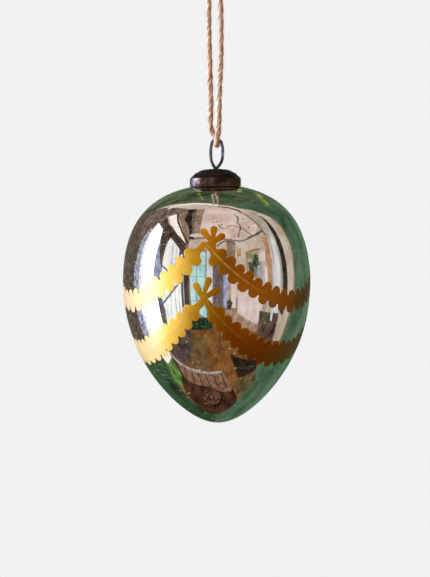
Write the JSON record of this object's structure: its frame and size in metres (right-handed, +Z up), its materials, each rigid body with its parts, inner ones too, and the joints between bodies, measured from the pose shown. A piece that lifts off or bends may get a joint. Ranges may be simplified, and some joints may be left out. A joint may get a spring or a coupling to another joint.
{
  "type": "glass ornament",
  "caption": "Egg-shaped mirrored glass ornament with painted leaf garlands, a pressed metal cap, a sprung wire hanger and a loop of jute twine to hang it by.",
  "frame": {"origin": "the hang point: the underside of the twine's knot, where a hook or branch carries the ornament", "axes": "+Z up, along the ornament's axis towards the knot; -Y is the side with the garlands' first peaks, which faces the viewer; +X to the viewer's right"},
  "size_m": [0.0906, 0.0905, 0.2357],
  "materials": {
    "silvered_glass": "blown glass, silvered on the inside and lightly flecked",
    "aged_metal": "pressed sheet metal with a dark brown-violet aged finish",
    "hanger_wire": "spring wire with the same dark aged finish",
    "amber_enamel": "amber enamel that the mirror shines through",
    "jute": "twisted jute twine"
  },
  "bodies": {
    "twine": {"twine_loop": "jute", "twine_knot": "jute"},
    "hanger": {"spring_hanger": "hanger_wire"},
    "cap": {"metal_cap": "aged_metal"},
    "glass": {"glass_body": "silvered_glass", "upper_swag_1": "amber_enamel", "upper_swag_2": "amber_enamel", "upper_swag_3": "amber_enamel", "upper_finial_1": "amber_enamel", "upper_finial_2": "amber_enamel", "upper_finial_3": "amber_enamel", "lower_swag_1": "amber_enamel", "lower_swag_2": "amber_enamel", "lower_swag_3": "amber_enamel", "lower_finial_1": "amber_enamel", "lower_finial_2": "amber_enamel", "lower_finial_3": "amber_enamel"}
  },
  "joints": [
    {"name": "hanger_swing", "type": "hinge", "parent": "twine", "child": "hanger", "pos_m": [0, 0, -0.08], "axis": [1, 0, 0], "range_deg": [-60, 60]},
    {"name": "hanger_turn", "type": "hinge", "parent": "hanger", "child": "cap", "pos_m": [0, 0, -0.0941], "axis": [0, 0, 1], "continuous": true},
    {"name": "glass_pull", "type": "slide", "parent": "cap", "child": "glass", "axis": [0, 0, -1], "range_m": [0, 0.025]}
  ]
}
